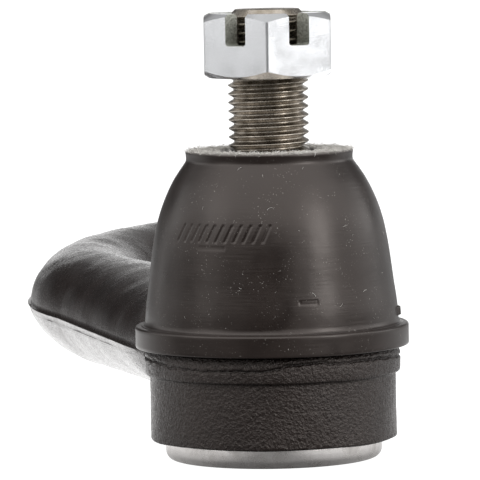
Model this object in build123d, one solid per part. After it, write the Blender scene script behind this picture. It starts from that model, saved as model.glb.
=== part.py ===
from build123d import *
import math
import os

# Tie rod end: a forged housing with a bowed arm and a female shank, a ball stud
# with a slotted nut, two ball seats under a disc spring, and a rubber dust boot.
# Millimetres. The origin is the centre of the housing's underside, on the stud's
# axis. +Z runs up the stud, +Y from the ball to the shank, +X to the right.

# Heights up the stud's axis
ball_height = 17.4
housing_edge = 3.4
collar_start = 14.4
collar_end = 19.5
band_bottom = 19.7
band_top = 23.5
neck_top = 28.0
rim_bottom = 51.8
rim_top = 53.9
nut_bottom = 66.6
nut_top = 77.8
stud_top = 78.5

# Ball, its seats and the swing they allow
ball_radius = 12.5
ball_flat_depth = 9.5
seat_clearance = 0.05
seat_outer = 15.2
seat_gap = 0.1
swing_limit = 22.0
swing_margin = 1.5

# Forged housing
housing_radius = 21.65
collar_radius = 22.5
collar_top_radius = 22.0
lip_radius = 18.95
lip_flat_radius = 16.4
lip_opening = 12.8
lip_thickness = 1.4
plate_radius = 16.6
plate_top = 3.2
sleeve_radius = 20.3
neck_radius = 16.2

# Bowed arm and shank, in plan
arm_lean = 20.5
arm_straight = 83.0
bow_radius = 103.0
return_angle = 38.0
root_half_width = 20.2
arm_half_width = 12.3
arm_half_height = 11.8
land_height = 1.3
land_proud = 0.35
shank_radius = 13.4
shank_end = 258.0

# Shank thread, M18 x 1.5, shown at its minor diameter
shank_thread = 18.0
shank_pitch = 1.5
shank_thread_radius = (shank_thread - 1.0825 * shank_pitch) / 2
shank_thread_depth = 50.0

# Ball stud: M14 x 1.5 thread above a 1:8 taper
stud_thread_radius = 7.0
stud_chamfer = 1.1
stud_neck_radius = 6.5
taper_radius = 8.75
neck_end = 31.8
taper_bottom = 35.0
taper_top = 50.4
taper_ratio = 8.0
relief_radius = 5.9
pin_hole_radius = 1.6
pin_hole_height = 74.9

# Slotted nut
nut_across_flats = 22.0
nut_bore_radius = 7.05
nut_chamfer = 1.3
slot_width = 4.0
slot_depth = 5.5
slot_corner = 0.8

# Dust boot and its rings
band_radius = 23.9
band_corner = 1.1
boot_wall = 2.0
sleeve_wall = 1.0
rim_radius = 14.65
rim_hole = 8.5
lip_bottom = 47.0
neck_ring_inner = 9.0
neck_ring_outer = 11.2
neck_ring_bottom = 49.0
neck_ring_top = 51.4
ring_gap = 0.05


def turned(*outline):
    """Solid of revolution about Z from closed (radius, height) points."""
    points = [(radius, 0, height) for radius, height in outline]
    return revolve(make_face(Polyline(*points, close=True)), Axis.Z)


def around_ball(radius):
    """Full sphere about the ball's centre."""
    return Pos(0, 0, ball_height) * Sphere(radius)


def ray(angle, reach):
    """(radius, height) at a reach from the ball's centre, an angle off the stud."""
    turn = math.radians(angle)
    return reach * math.sin(turn), ball_height + reach * math.cos(turn)


# Angles off the stud's axis at which each edge clears the tilted neck
cavity_radius = seat_outer + seat_gap
clear_swing = swing_limit + swing_margin
seat_edge_angle = clear_swing + math.degrees(math.asin(stud_neck_radius / ball_radius))
mouth_angle = clear_swing + math.degrees(math.asin(stud_neck_radius / cavity_radius))
mouth_radius, mouth_height = ray(mouth_angle, cavity_radius)


def arm_section(half_width, half_height):
    """Oval bar section with its flat trimmed land, in the local XY plane."""
    land = Rectangle(2 * (half_width + land_proud), land_height)
    return Ellipse(half_width, half_height) + land


def plan_point(x, y):
    """Point on the arm's centreline, at the ball's height."""
    return Vector(x, y, ball_height)


def arm_path():
    """Bowed centreline after the straight root: out to the left, back to the Y axis."""
    lean = math.radians(arm_lean)
    back = math.radians(return_angle)
    start_x = -arm_straight * math.sin(lean)
    start_y = arm_straight * math.cos(lean)
    centre_x = start_x + bow_radius * math.cos(lean)
    centre_y = start_y + bow_radius * math.sin(lean)
    bow_x = centre_x - bow_radius
    turn_x = centre_x - bow_radius * math.cos(back)
    turn_y = centre_y + bow_radius * math.sin(back)
    return_radius = -turn_x / (1 - math.cos(back))
    shank_y = turn_y + return_radius * math.sin(back)
    half_x = -return_radius * (1 - math.cos(back / 2))
    half_y = shank_y - return_radius * math.sin(back / 2)
    bow = ThreePointArc(
        plan_point(start_x, start_y), plan_point(bow_x, centre_y), plan_point(turn_x, turn_y)
    )
    settle = ThreePointArc(
        plan_point(turn_x, turn_y), plan_point(half_x, half_y), plan_point(0, shank_y)
    )
    return Wire([bow, settle]), plan_point(start_x, start_y), shank_y


def arm():
    """Root web, bowed bar and shank, without the housing."""
    path, start, shank_y = arm_path()
    heading = Vector(-math.sin(math.radians(arm_lean)), math.cos(math.radians(arm_lean)), 0)
    across = Vector(math.cos(math.radians(arm_lean)), math.sin(math.radians(arm_lean)), 0)
    root_plane = Plane(origin=plan_point(0, 0), x_dir=across, z_dir=heading)
    start_plane = Plane(origin=start, x_dir=across, z_dir=heading)
    root = loft(
        [
            root_plane * arm_section(root_half_width, arm_half_height),
            start_plane * arm_section(arm_half_width, arm_half_height),
        ],
        ruled=True,
    )
    bar = sweep(start_plane * arm_section(arm_half_width, arm_half_height), path=path)
    shank_plane = Plane(origin=plan_point(0, shank_y), x_dir=(1, 0, 0), z_dir=(0, 1, 0))
    upset = shank_radius - arm_half_height
    swell = loft(
        [
            shank_plane * arm_section(arm_half_width, arm_half_height),
            shank_plane.offset(4 * upset) * Circle(shank_radius),
        ]
    )
    shank_length = shank_end - shank_y - 4 * upset
    shank = extrude(shank_plane.offset(4 * upset) * Circle(shank_radius), shank_length)
    shank = chamfer(shank.faces().sort_by(Axis.Y)[-1].edges(), 1.5)
    return root + bar + swell + shank


def forged_housing():
    """Forging with its rolled lip, collar, boot neck, arm and threaded shank."""
    body = turned(
        (0, 0),
        (lip_flat_radius, 0),
        (lip_flat_radius + 1.1, 0.35),
        (lip_flat_radius + 1.6, 1.0),
        (lip_radius - 0.35, 2.0),
        (lip_radius, housing_edge),
        (housing_radius - 0.4, housing_edge),
        (housing_radius, housing_edge + 0.4),
        (housing_radius, collar_start),
        (collar_radius - 0.2, collar_start + 0.6),
        (collar_radius, ball_height),
        (collar_top_radius + 0.2, collar_end - 0.6),
        (collar_top_radius, collar_end),
        (0, collar_end),
    )
    boot_clearance = turned(
        (0, collar_end),
        (band_radius + 1.4, collar_end),
        (band_radius + 16, ball_height + arm_half_height + 2),
        (0, ball_height + arm_half_height + 2),
    )
    neck = turned(
        (0, collar_end - 1),
        (sleeve_radius, collar_end - 1),
        (sleeve_radius, band_top - 0.7),
        (sleeve_radius - 1.7, band_top + 0.9),
        (neck_radius, neck_top),
        (0, neck_top),
    )
    bore = turned(
        (0, -1),
        (lip_opening, -1),
        (lip_opening, lip_thickness),
        (plate_radius, lip_thickness),
        (plate_radius, plate_top),
        (cavity_radius, plate_top),
        (cavity_radius, ball_height),
        (0, ball_height),
    )
    mouth = turned(
        (0, ball_height),
        (mouth_radius, mouth_height - 1),
        (mouth_radius, mouth_height),
        (mouth_radius + 2, mouth_height + 2),
        (0, mouth_height + 2),
    )
    body = (body + arm()) - boot_clearance + neck
    body = body - bore - around_ball(cavity_radius) - mouth
    hole = Plane(origin=plan_point(0, shank_end), x_dir=(1, 0, 0), z_dir=(0, -1, 0))
    body = body - extrude(hole * Circle(shank_thread_radius), shank_thread_depth)
    lead_in = loft(
        [hole * Circle(shank_thread_radius + 1.1), hole.offset(1.1) * Circle(shank_thread_radius)]
    )
    return body - lead_in


def closing_plate():
    """Pressed steel plate under the rolled lip, dished in its middle."""
    rise = 0.5
    return turned(
        (0, lip_thickness + rise),
        (6.0, lip_thickness + rise),
        (8.0, lip_thickness),
        (plate_radius, lip_thickness),
        (plate_radius, plate_top),
        (8.5, plate_top),
        (6.5, plate_top + rise),
        (0, plate_top + rise),
    )


def disc_spring():
    """Conical washer that presses the lower seat against the ball."""
    thickness = 0.8
    rise = 1.2
    outer, inner = seat_outer - 0.5, 7.6
    return turned(
        (outer, plate_top),
        (outer, plate_top + thickness),
        (inner, plate_top + thickness + rise),
        (inner, plate_top + rise),
    )


def lower_ball_seat():
    """Polymer cup under the ball's equator."""
    bottom, top = plate_top + 2.1, ball_height - seat_gap
    drain = 4.5
    cup = turned((drain, bottom), (seat_outer, bottom), (seat_outer, top), (drain, top))
    return cup - around_ball(ball_radius + seat_clearance)


def upper_ball_seat():
    """Polymer ring over the ball's equator, open for the swinging neck."""
    inner_edge = ray(seat_edge_angle, ball_radius + seat_clearance)
    outer_edge = ray(mouth_angle, seat_outer)
    slope = (outer_edge[0] - inner_edge[0]) / (outer_edge[1] - inner_edge[1])
    run = inner_edge[1] - ball_height
    beyond = 8
    funnel = turned(
        (0, ball_height),
        (inner_edge[0] - slope * run, ball_height),
        (outer_edge[0] + slope * beyond, outer_edge[1] + beyond),
        (0, outer_edge[1] + beyond),
    )
    below = Pos(0, 0, ball_height - 20 + seat_gap) * Box(60, 60, 40)
    shell = around_ball(seat_outer) - around_ball(ball_radius + seat_clearance)
    return shell - below - funnel


def ball_stud():
    """Ball, neck, locking taper and threaded end with its split pin hole."""
    taper_end = taper_radius - (taper_top - taper_bottom) / taper_ratio / 2
    shaft = turned(
        (0, ball_height),
        (stud_neck_radius, ball_height),
        (stud_neck_radius, neck_end),
        (taper_radius - 0.5, taper_bottom - 1.0),
        (taper_radius, taper_bottom),
        (taper_end, taper_top),
        (relief_radius, taper_top + 0.3),
        (relief_radius, taper_top + 1.0),
        (stud_thread_radius, taper_top + 2.0),
        (stud_thread_radius, stud_top - stud_chamfer),
        (stud_thread_radius - stud_chamfer, stud_top - 0.2),
        (0, stud_top),
    )
    below = Pos(0, 0, ball_height - ball_flat_depth - 10) * Box(40, 40, 20)
    pin_hole = Pos(0, 0, pin_hole_height) * Rot(0, 90, 0) * Cylinder(pin_hole_radius, 40)
    return around_ball(ball_radius) + shaft - below - pin_hole


def boot_profile(drop):
    """Dome outline from its foot to its shoulder, drop millimetres inside the outside."""
    return [
        (22.1 - drop, 24.6),
        (21.4 - drop, 30.8),
        (20.5 - drop, 38.2),
        (18.8 - drop, 44.5),
        (16.9 - drop, 48.7),
    ]


def dome(points):
    """Solid of revolution under a smooth curve of (radius, height) points."""
    outline = Spline(*[(radius, 0, height) for radius, height in points])
    rest = Polyline(
        (points[-1][0], 0, points[-1][1]),
        (0, 0, points[-1][1]),
        (0, 0, points[0][1]),
        (points[0][0], 0, points[0][1]),
    )
    return revolve(make_face([*outline.edges(), *rest.edges()]), Axis.Z)


def dust_boot():
    """Rubber boot: clamped foot band, domed wall and a lipped rim round the stud."""
    band = turned(
        (0, band_bottom),
        (band_radius, band_bottom),
        (band_radius, band_top - band_corner),
        (band_radius - band_corner, band_top),
        (0, band_top),
    )
    shoulder = boot_profile(0)[-1]
    rim = turned(
        (0, shoulder[1]),
        shoulder,
        (rim_radius + 0.1, rim_bottom),
        (rim_radius, rim_top),
        (0, rim_top),
    )
    foot_radius, foot_top = boot_profile(0)[0]
    foot = turned((0, band_top), (foot_radius, band_top), (foot_radius, foot_top), (0, foot_top))
    inside = boot_profile(boot_wall)
    hollow = turned(
        (0, band_top - 0.5),
        (inside[0][0], band_top - 0.5),
        inside[0],
        (0, inside[0][1]),
    )
    throat = turned(
        (0, foot_top),
        (foot_radius, foot_top),
        (foot_radius, 41.0),
        (rim_hole + 1.5, lip_bottom - 0.6),
        (rim_hole, lip_bottom),
        (0, lip_bottom),
    )
    hollow = hollow + (dome(inside) & throat)
    sleeve = turned(
        (0, band_bottom),
        (sleeve_radius + sleeve_wall + 2 * ring_gap, band_bottom),
        (sleeve_radius + sleeve_wall + 2 * ring_gap, band_top - 0.3),
        (0, band_top - 0.3),
    )
    hole = turned((0, lip_bottom - 1), (rim_hole, lip_bottom - 1), (rim_hole, rim_top), (0, rim_top))
    groove = turned(
        (0, neck_ring_bottom - ring_gap),
        (neck_ring_outer + ring_gap, neck_ring_bottom - ring_gap),
        (neck_ring_outer + ring_gap, neck_ring_top + ring_gap),
        (0, neck_ring_top + ring_gap),
    )
    outside = band + foot + dome(boot_profile(0)) + rim
    return outside - hollow - sleeve - hole - groove


def boot_sleeve():
    """Steel insert that holds the boot's foot on the housing's neck."""
    inner = sleeve_radius + ring_gap
    return turned(
        (inner, band_bottom),
        (inner + sleeve_wall, band_bottom),
        (inner + sleeve_wall, band_top - 0.4),
        (inner, band_top - 0.4),
    )


def boot_neck_ring():
    """Steel ring in the boot's upper lip, which tilts with the stud."""
    return turned(
        (neck_ring_inner, neck_ring_bottom),
        (neck_ring_outer, neck_ring_bottom),
        (neck_ring_outer, neck_ring_top),
        (neck_ring_inner, neck_ring_top),
    )


def slotted_nut():
    """Hexagon nut with six slots centred on its flats, a corner to the front."""
    corner = nut_across_flats / math.sqrt(3)
    height = nut_top - nut_bottom
    hexagon = RegularPolygon(corner, 6, rotation=30)
    blank = Pos(0, 0, nut_bottom) * extrude(hexagon, height)
    drop = nut_chamfer * math.tan(math.radians(30))
    blank = blank & turned(
        (0, nut_bottom),
        (corner - nut_chamfer, nut_bottom),
        (corner, nut_bottom + drop),
        (corner, nut_top - drop),
        (corner - nut_chamfer, nut_top),
        (0, nut_top),
    )
    bore = turned(
        (0, nut_bottom),
        (nut_bore_radius + 0.8, nut_bottom),
        (nut_bore_radius, nut_bottom + 0.8),
        (nut_bore_radius, nut_top),
        (0, nut_top),
    )
    slot = Pos(0, 0, nut_top - slot_depth / 2 + 1) * Box(40, slot_width, slot_depth + 2)
    low_edges = slot.edges().filter_by(Axis.X).group_by(Axis.Z)[0]
    slot = fillet(low_edges, slot_corner)
    for turn in range(3):
        blank = blank - Rot(0, 0, 60 * turn) * slot
    return blank - bore


NODES = (
    forged_housing,
    closing_plate,
    disc_spring,
    lower_ball_seat,
    upper_ball_seat,
    ball_stud,
    dust_boot,
    boot_sleeve,
    boot_neck_ring,
    slotted_nut,
)

os.makedirs("parts", exist_ok=True)
for make in NODES:
    export_step(make(), os.path.join("parts", make.__name__ + ".step"))
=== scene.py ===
"""Looks of a tie rod end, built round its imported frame.

The forging, its bare lip, the ball stud, the slotted nut and the dust boot are
modelled here in millimetres and stored in metres, in the frame's own axes:
+Z up the stud, +Y from the ball to the shank. An angle on a round piece is
counted from the front (-Y), positive towards +X.
"""

import logging
import math
from dataclasses import dataclass, field
from enum import Enum
from typing import Sequence

import bmesh
import bpy
import numpy as np
from mathutils import Matrix, Vector, noise


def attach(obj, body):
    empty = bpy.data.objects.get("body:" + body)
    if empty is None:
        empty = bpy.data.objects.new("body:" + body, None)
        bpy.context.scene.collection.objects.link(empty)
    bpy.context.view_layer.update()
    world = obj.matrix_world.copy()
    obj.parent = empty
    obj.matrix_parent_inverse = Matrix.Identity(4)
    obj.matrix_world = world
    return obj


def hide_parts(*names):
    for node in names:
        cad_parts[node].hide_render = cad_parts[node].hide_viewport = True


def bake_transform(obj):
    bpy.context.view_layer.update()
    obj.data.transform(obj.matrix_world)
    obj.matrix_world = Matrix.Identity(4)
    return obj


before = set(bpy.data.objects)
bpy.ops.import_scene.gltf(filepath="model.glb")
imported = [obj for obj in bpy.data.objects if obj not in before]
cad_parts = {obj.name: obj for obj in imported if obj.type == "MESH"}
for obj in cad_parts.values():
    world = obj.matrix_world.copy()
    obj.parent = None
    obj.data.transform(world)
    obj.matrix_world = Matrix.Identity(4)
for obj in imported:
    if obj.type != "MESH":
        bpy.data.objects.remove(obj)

LOG = logging.getLogger("tie_rod_end")
MM = 0.001

Colour = tuple[float, float, float]
Outline = list[tuple[float, float]]
Socket = bpy.types.NodeSocket
Piece = bpy.types.Object
Material = bpy.types.Material

WARM: Colour = (1.0, 0.91, 0.86)


class Body(str, Enum):
    """Rigid bodies of the frame."""

    HOUSING = "housing"
    SEATS = "ball_seats"
    RIM = "boot_rim"
    STUD = "stud"
    NUT = "nut"


class Combine(str, Enum):
    """Ways to combine two closed meshes."""

    JOIN = "UNION"
    CUT = "DIFFERENCE"
    KEEP = "INTERSECT"


# ---------------------------------------------------------------- mesh helpers


def new_object(name: str, mesh: bpy.types.Mesh) -> Piece:
    """Link a mesh to the scene.

    Args:
        name: Name of the object.
        mesh: Its mesh, in metres.

    Returns:
        The new object, at the origin.
    """
    mesh.name = name
    made = bpy.data.objects.new(name, mesh)
    bpy.context.scene.collection.objects.link(made)
    return made


def tidy_mesh(mesh: bpy.types.Mesh, merge: float = 2e-7) -> None:
    """Merge doubles, turn every face outwards and shade smooth.

    Args:
        mesh: Closed mesh to tidy, in metres.
        merge: Distance under which two points are one, in metres.
    """
    work = bmesh.new()
    work.from_mesh(mesh)
    bmesh.ops.remove_doubles(work, verts=work.verts, dist=merge)
    bmesh.ops.dissolve_degenerate(work, edges=work.edges, dist=merge)
    bmesh.ops.recalc_face_normals(work, faces=work.faces)
    for face in work.faces:
        face.smooth = True
    work.to_mesh(mesh)
    work.free()


def mesh_from(name: str, points: np.ndarray, faces: Sequence[Sequence[int]]) -> Piece:
    """Object from points in millimetres.

    Args:
        name: Name of the object.
        points: Array of points, in millimetres.
        faces: Corners of each face, as indices of points.

    Returns:
        A tidy object in metres.
    """
    mesh = bpy.data.meshes.new(name)
    mesh.from_pydata((points * MM).tolist(), [], [list(face) for face in faces])
    tidy_mesh(mesh)
    return new_object(name, mesh)


def points_of(obj: Piece) -> np.ndarray:
    """Points of an object's mesh, in millimetres."""
    flat = np.empty(len(obj.data.vertices) * 3)
    obj.data.vertices.foreach_get("co", flat)
    return flat.reshape(-1, 3) / MM


def set_points(obj: Piece, points: np.ndarray) -> None:
    """Move an object's mesh points to these, given in millimetres."""
    obj.data.vertices.foreach_set("co", (points * MM).ravel())
    obj.data.update()


def normals_of(obj: Piece) -> np.ndarray:
    """Point normals of an object's mesh."""
    flat = np.empty(len(obj.data.vertices) * 3)
    obj.data.vertex_normals.foreach_get("vector", flat)
    return flat.reshape(-1, 3)


def paint(obj: Piece, name: str, values: np.ndarray, domain: str = "POINT") -> None:
    """Store one number a point or face as a mesh attribute that materials read.

    Args:
        obj: Object to paint.
        name: Name of the attribute.
        values: One number for each point or face.
        domain: Whether the numbers belong to points or to faces.
    """
    layer = obj.data.attributes.new(name, "FLOAT", domain)
    layer.data.foreach_set("value", values.astype(np.float32))


def evaluated(obj: Piece) -> Piece:
    """Replace an object by the plain mesh of what its modifiers make.

    Args:
        obj: Object with modifiers, which is removed.

    Returns:
        A new object of the same name without modifiers.
    """
    name = obj.name
    graph = bpy.context.evaluated_depsgraph_get()
    mesh = bpy.data.meshes.new_from_object(obj.evaluated_get(graph))
    bpy.data.objects.remove(obj)
    return new_object(name, mesh)


def coat_all(obj: Piece, material: Material) -> None:
    """Give a mesh one material and no other."""
    obj.data.materials.clear()
    obj.data.materials.append(material)


def combine(base: Piece, tool: Piece, how: Combine) -> Piece:
    """Boolean of two closed meshes.

    Args:
        base: Mesh that is changed.
        tool: Mesh that changes it, which is removed.
        how: Whether the tool is joined, cut away or kept in common.

    Returns:
        The combined mesh, under the base's name.
    """
    modifier = base.modifiers.new("combine", "BOOLEAN")
    modifier.operation = how.value
    modifier.solver = "MANIFOLD"
    modifier.object = tool
    made = evaluated(base)
    bpy.data.objects.remove(tool)
    tidy_mesh(made.data)
    return made


# ------------------------------------------------------------- outline helpers


def arc(centre: tuple[float, float], radius: float, start: float, end: float, steps: int = 6) -> Outline:
    """Points along an arc of an outline.

    Args:
        centre: Its centre, as (radius, height).
        radius: Its radius.
        start: Angle of its first point, in degrees from the outward direction.
        end: Angle of its last point.
        steps: Number of chords.

    Returns:
        The arc's points, ends included.
    """
    turns = np.radians(np.linspace(start, end, steps + 1))
    return [(centre[0] + radius * math.cos(t), centre[1] + radius * math.sin(t)) for t in turns]


def smooth_through(knots: Outline, step: float) -> Outline:
    """Catmull-Rom curve through an outline's knots.

    Args:
        knots: Points that the curve passes through.
        step: Distance between the points that it returns.

    Returns:
        Points along the curve, ends included.
    """
    given = [Vector((*k, 0)) for k in knots]
    ends = [2 * given[0] - given[1], *given, 2 * given[-1] - given[-2]]
    found = []
    for before, first, second, after in zip(ends, ends[1:], ends[2:], ends[3:]):
        count = max(1, round((second - first).length / step))
        for t in (i / count for i in range(count)):
            slope = (second - before) * t + (2 * before - 5 * first + 4 * second - after) * t**2
            bend = (3 * first - before - 3 * second + after) * t**3
            found.append(first + (slope + bend) / 2)
    return [(p.x, p.y) for p in [*found, given[-1]]]


def spaced(outline: Outline, step: float) -> Outline:
    """Open outline with its long runs divided.

    Args:
        outline: Corners of the outline.
        step: Longest run that is left.

    Returns:
        The outline with points added on its runs, without its last point.
    """
    found: Outline = []
    for first, second in zip(outline, outline[1:]):
        count = max(1, math.ceil(math.dist(first, second) / step))
        for i in range(count):
            share = i / count
            found.append(tuple(a + (b - a) * share for a, b in zip(first, second)))
    return found


def even_angles(count: int) -> np.ndarray:
    """Angles of a full turn, evenly spaced, in degrees."""
    return np.arange(count) * 360 / count


def dense_angles(low: float, high: float, fine: float, coarse: float) -> np.ndarray:
    """Angles of a full turn with a finely divided sector.

    Args:
        low: Start of the fine sector, in degrees.
        high: Its end.
        fine: Step inside the sector.
        coarse: Step outside it.

    Returns:
        Angles in degrees, without the closing one.
    """
    inner = np.linspace(low, high, round((high - low) / fine), endpoint=False)
    outer = np.linspace(high, low + 360, round((360 - high + low) / coarse), endpoint=False)
    return np.concatenate([inner, outer])


def lathe(name: str, outline: Outline, angles: np.ndarray) -> Piece:
    """Solid of revolution about the stud's axis.

    Args:
        name: Name of the object.
        outline: Closed outline as (radius, height), in millimetres.
        angles: Angles of the rings, in degrees.

    Returns:
        A closed mesh.
    """
    ring = np.array(outline)
    turns = np.radians(angles)
    x = np.outer(np.sin(turns), ring[:, 0])
    y = np.outer(-np.cos(turns), ring[:, 0])
    z = np.tile(ring[:, 1], (len(turns), 1))
    points = np.stack([x, y, z], axis=-1).reshape(-1, 3)
    across, along = len(ring), len(turns)
    faces = []
    for i in range(along):
        for j in range(across):
            nxt, up = (i + 1) % along, (j + 1) % across
            faces.append((i * across + j, nxt * across + j, nxt * across + up, i * across + up))
    return mesh_from(name, points, faces)


def swept_faces(rings: int, count: int) -> list[tuple[int, ...]]:
    """Faces of a closed bar: its two ends, then its sides.

    Args:
        rings: Number of sections along the bar.
        count: Points in each section.
    """
    faces = [tuple(range(count)), tuple(range((rings - 1) * count, rings * count))]
    for i in range(rings - 1):
        for j in range(count):
            up = (j + 1) % count
            faces.append((i * count + j, i * count + up, (i + 1) * count + up, (i + 1) * count + j))
    return faces


def grain(points: np.ndarray, size: float, seed: float = 0.0) -> np.ndarray:
    """Smooth noise about zero at each point.

    Args:
        points: Points in millimetres.
        size: Size of its cells, in millimetres.
        seed: Offset that gives another pattern.

    Returns:
        Numbers from about -1 to 1.
    """
    shift = Vector((seed, seed * 1.7, seed * 2.3))
    return np.array([noise.noise(Vector(p) / size + shift) for p in points])


# ------------------------------------------------------------- material helper


class TreeBuilder:
    """Adds nodes to one node tree."""

    tree: bpy.types.NodeTree

    def put(self, kind: str, inputs: dict, **options: object) -> bpy.types.Node:
        """Add a node.

        Args:
            kind: Its type.
            inputs: Socket name or number to a value or to the socket that feeds it.
            **options: Properties of the node.

        Returns:
            The node.
        """
        node = self.tree.nodes.new(kind)
        for key, value in options.items():
            setattr(node, key, value)
        for key, value in inputs.items():
            self.feed(node.inputs[key], value)
        return node

    def feed(self, socket: Socket, value: object) -> None:
        """Link or set one input socket."""
        if isinstance(value, Socket):
            self.tree.links.new(value, socket)
        elif isinstance(value, tuple) and len(value) == 3 and socket.type == "RGBA":
            socket.default_value = (*value, 1.0)
        else:
            socket.default_value = value

    def maths(self, how: str, first: object, second: object = 0.0, clamp: bool = False) -> Socket:
        """One maths operation."""
        return self.put("ShaderNodeMath", {0: first, 1: second}, operation=how, use_clamp=clamp).outputs[0]


class NodeGraph(TreeBuilder):
    """Builds one material's node tree round a Principled shader."""

    def __init__(self, name: str) -> None:
        """Make the material.

        Args:
            name: Name of the material.
        """
        self.material = bpy.data.materials.new(name)
        self.material.use_nodes = True
        self.tree = self.material.node_tree
        self.tree.nodes.clear()
        output = self.tree.nodes.new("ShaderNodeOutputMaterial")
        self.shader = self.tree.nodes.new("ShaderNodeBsdfPrincipled")
        self.tree.links.new(self.shader.outputs[0], output.inputs[0])

    def surface(self, **inputs: object) -> None:
        """Set the Principled shader's sockets, named with underscores."""
        for key, value in inputs.items():
            self.feed(self.shader.inputs[key.replace("_", " ")], value)

    def place(self, stretch: Colour = (1.0, 1.0, 1.0)) -> Socket:
        """Position on the piece in millimetres, times a stretch."""
        where = self.put("ShaderNodeTexCoord", {}).outputs["Object"]
        scale = tuple(s / MM for s in stretch)
        return self.put("ShaderNodeVectorMath", {0: where, 1: scale}, operation="MULTIPLY").outputs[0]

    def noise(self, place: Socket, size: float, detail: float = 2.0, warp: float = 0.0) -> Socket:
        """Noise from 0 to 1 with cells of a size in millimetres."""
        inputs = {"Vector": place, "Scale": 1 / size, "Detail": detail, "Distortion": warp}
        return self.put("ShaderNodeTexNoise", inputs).outputs[0]

    def spread(self, value: Socket, low: float, high: float, first: float = 0.0, last: float = 1.0) -> Socket:
        """Map low..high to first..last, clamped."""
        inputs = {0: value, 1: low, 2: high, 3: first, 4: last}
        return self.put("ShaderNodeMapRange", inputs).outputs[0]

    def blend(self, share: object, first: object, second: object) -> Socket:
        """Mix two colours."""
        return self.put("ShaderNodeMix", {0: share, 6: first, 7: second}, data_type="RGBA").outputs[2]

    def painted(self, name: str) -> Socket:
        """Number painted on the mesh under a name."""
        return self.put("ShaderNodeAttribute", {}, attribute_name=name).outputs["Fac"]

    def height(self) -> Socket:
        """Height up the stud's axis in millimetres."""
        return self.put("ShaderNodeSeparateXYZ", {0: self.place()}).outputs[2]

    def radius(self) -> Socket:
        """Distance from the stud's axis in millimetres."""
        flat = self.place((1.0, 1.0, 0.0))
        return self.put("ShaderNodeVectorMath", {0: flat}, operation="LENGTH").outputs["Value"]

    def relief(self, height: Socket, depth: float, under: object = None) -> Socket:
        """Bumped normal.

        Args:
            height: Height from 0 to 1.
            depth: What 1 stands for, in millimetres.
            under: Normal that the bump is added to.

        Returns:
            The normal's socket.
        """
        inputs = {"Height": height, "Distance": depth * MM, "Strength": 1.0}
        if under is not None:
            inputs["Normal"] = under
        return self.put("ShaderNodeBump", inputs).outputs[0]


# -------------------------------------------------------------------- finishes


@dataclass(frozen=True)
class CoatedForging:
    """Black electrocoat over a shot-blasted forging, with painted shade darkening the open seam."""

    dark: Colour = (0.0050, 0.0024, 0.0019)
    light: Colour = (0.0095, 0.0054, 0.0044)
    # colour of the painted shade in the open seam
    crack_and_shade: Colour = (0.0015, 0.001, 0.001)
    pit_size: float = 0.55
    pit_depth: float = 0.33
    fine_size: float = 0.22
    fine_depth: float = 0.10

    def make(self) -> Material:
        """Build the material, which reads the paint named seam and darkens the open seam there as painted
        shade.
        """
        graph = NodeGraph("coated_forging")
        place = graph.place()
        pits = graph.noise(place, self.pit_size, 3.0, 0.4)
        fine = graph.noise(place, self.fine_size, 2.0)
        cloud = graph.noise(place, 9.0, 3.0)
        colour = graph.blend(graph.spread(cloud, 0.35, 0.7), self.dark, self.light)
        # painted shade: the open seam is darkened where its overhanging edge would shade it
        colour = graph.blend(graph.painted("seam"), colour, self.crack_and_shade)
        away = graph.spread(graph.radius(), 24.0, 34.0)
        shine = graph.spread(pits, 0.3, 0.7, 0.38, 0.24)
        shine = graph.maths("ADD", shine, graph.spread(fine, 0.3, 0.7, -0.04, 0.05))
        shine = graph.maths("SUBTRACT", shine, graph.maths("MULTIPLY", away, 0.10))
        calm = graph.spread(away, 0.0, 1.0, 1.0, 0.12)
        normal = graph.relief(graph.maths("MULTIPLY", pits, calm), self.pit_depth)
        normal = graph.relief(graph.maths("MULTIPLY", fine, calm), self.fine_depth, normal)
        graph.surface(Base_Color=colour, Roughness=shine, Normal=normal)
        graph.surface(Specular_Tint=WARM)
        return graph.material


@dataclass(frozen=True)
class TurnedSteel:
    """Bare steel with rings left by a lathe tool."""

    name: str
    colour: Colour
    gloss: float = 0.30
    ring_size: float = 0.10
    ring_depth: float = 0.004
    stain: Colour = (0.20, 0.17, 0.14)
    stain_share: float = 0.35

    def make(self) -> Material:
        """Build the material."""
        graph = NodeGraph(self.name)
        rings = graph.put("ShaderNodeCombineXYZ", {0: graph.radius(), 2: graph.height()}).outputs[0]
        marks = graph.noise(rings, self.ring_size, 2.0)
        cloud = graph.noise(graph.place(), 3.0, 4.0, 0.5)
        stained = graph.spread(cloud, 0.45, 0.75, 0.0, self.stain_share)
        colour = graph.blend(stained, self.colour, self.stain)
        gloss = graph.spread(cloud, 0.3, 0.7, self.gloss - 0.05, self.gloss + 0.10)
        normal = graph.relief(marks, self.ring_depth)
        graph.surface(Base_Color=colour, Metallic=1.0, Roughness=gloss, Normal=normal)
        return graph.material


@dataclass(frozen=True)
class RolledThreadSteel:
    """Rolled steel thread with a thin brown phosphate film, and painted shade in its roots."""

    crest: Colour = (0.50, 0.455, 0.40)
    film: Colour = (0.17, 0.145, 0.11)
    # colour of the painted shade in the thread's roots
    root_shade: Colour = (0.09, 0.07, 0.05)

    def make(self) -> Material:
        """Build the material, which reads the paint named crest."""
        graph = NodeGraph("rolled_thread_steel")
        place = graph.place()
        cloud = graph.noise(place, 2.2, 4.0, 0.6)
        streak = graph.noise(graph.place((1.0, 1.0, 3.0)), 0.35, 2.0)
        colour = graph.blend(graph.spread(cloud, 0.30, 0.80), self.crest, self.film)
        # painted shade: the colour darkens towards the thread's roots
        root_shade = graph.spread(graph.painted("crest"), 0.0, 0.85, 0.75, 0.0)
        colour = graph.blend(root_shade, colour, self.root_shade)
        gloss = graph.spread(streak, 0.3, 0.7, 0.20, 0.36)
        graph.surface(Base_Color=colour, Metallic=1.0, Roughness=gloss)
        graph.surface(Normal=graph.relief(streak, 0.010))
        return graph.material


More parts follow.
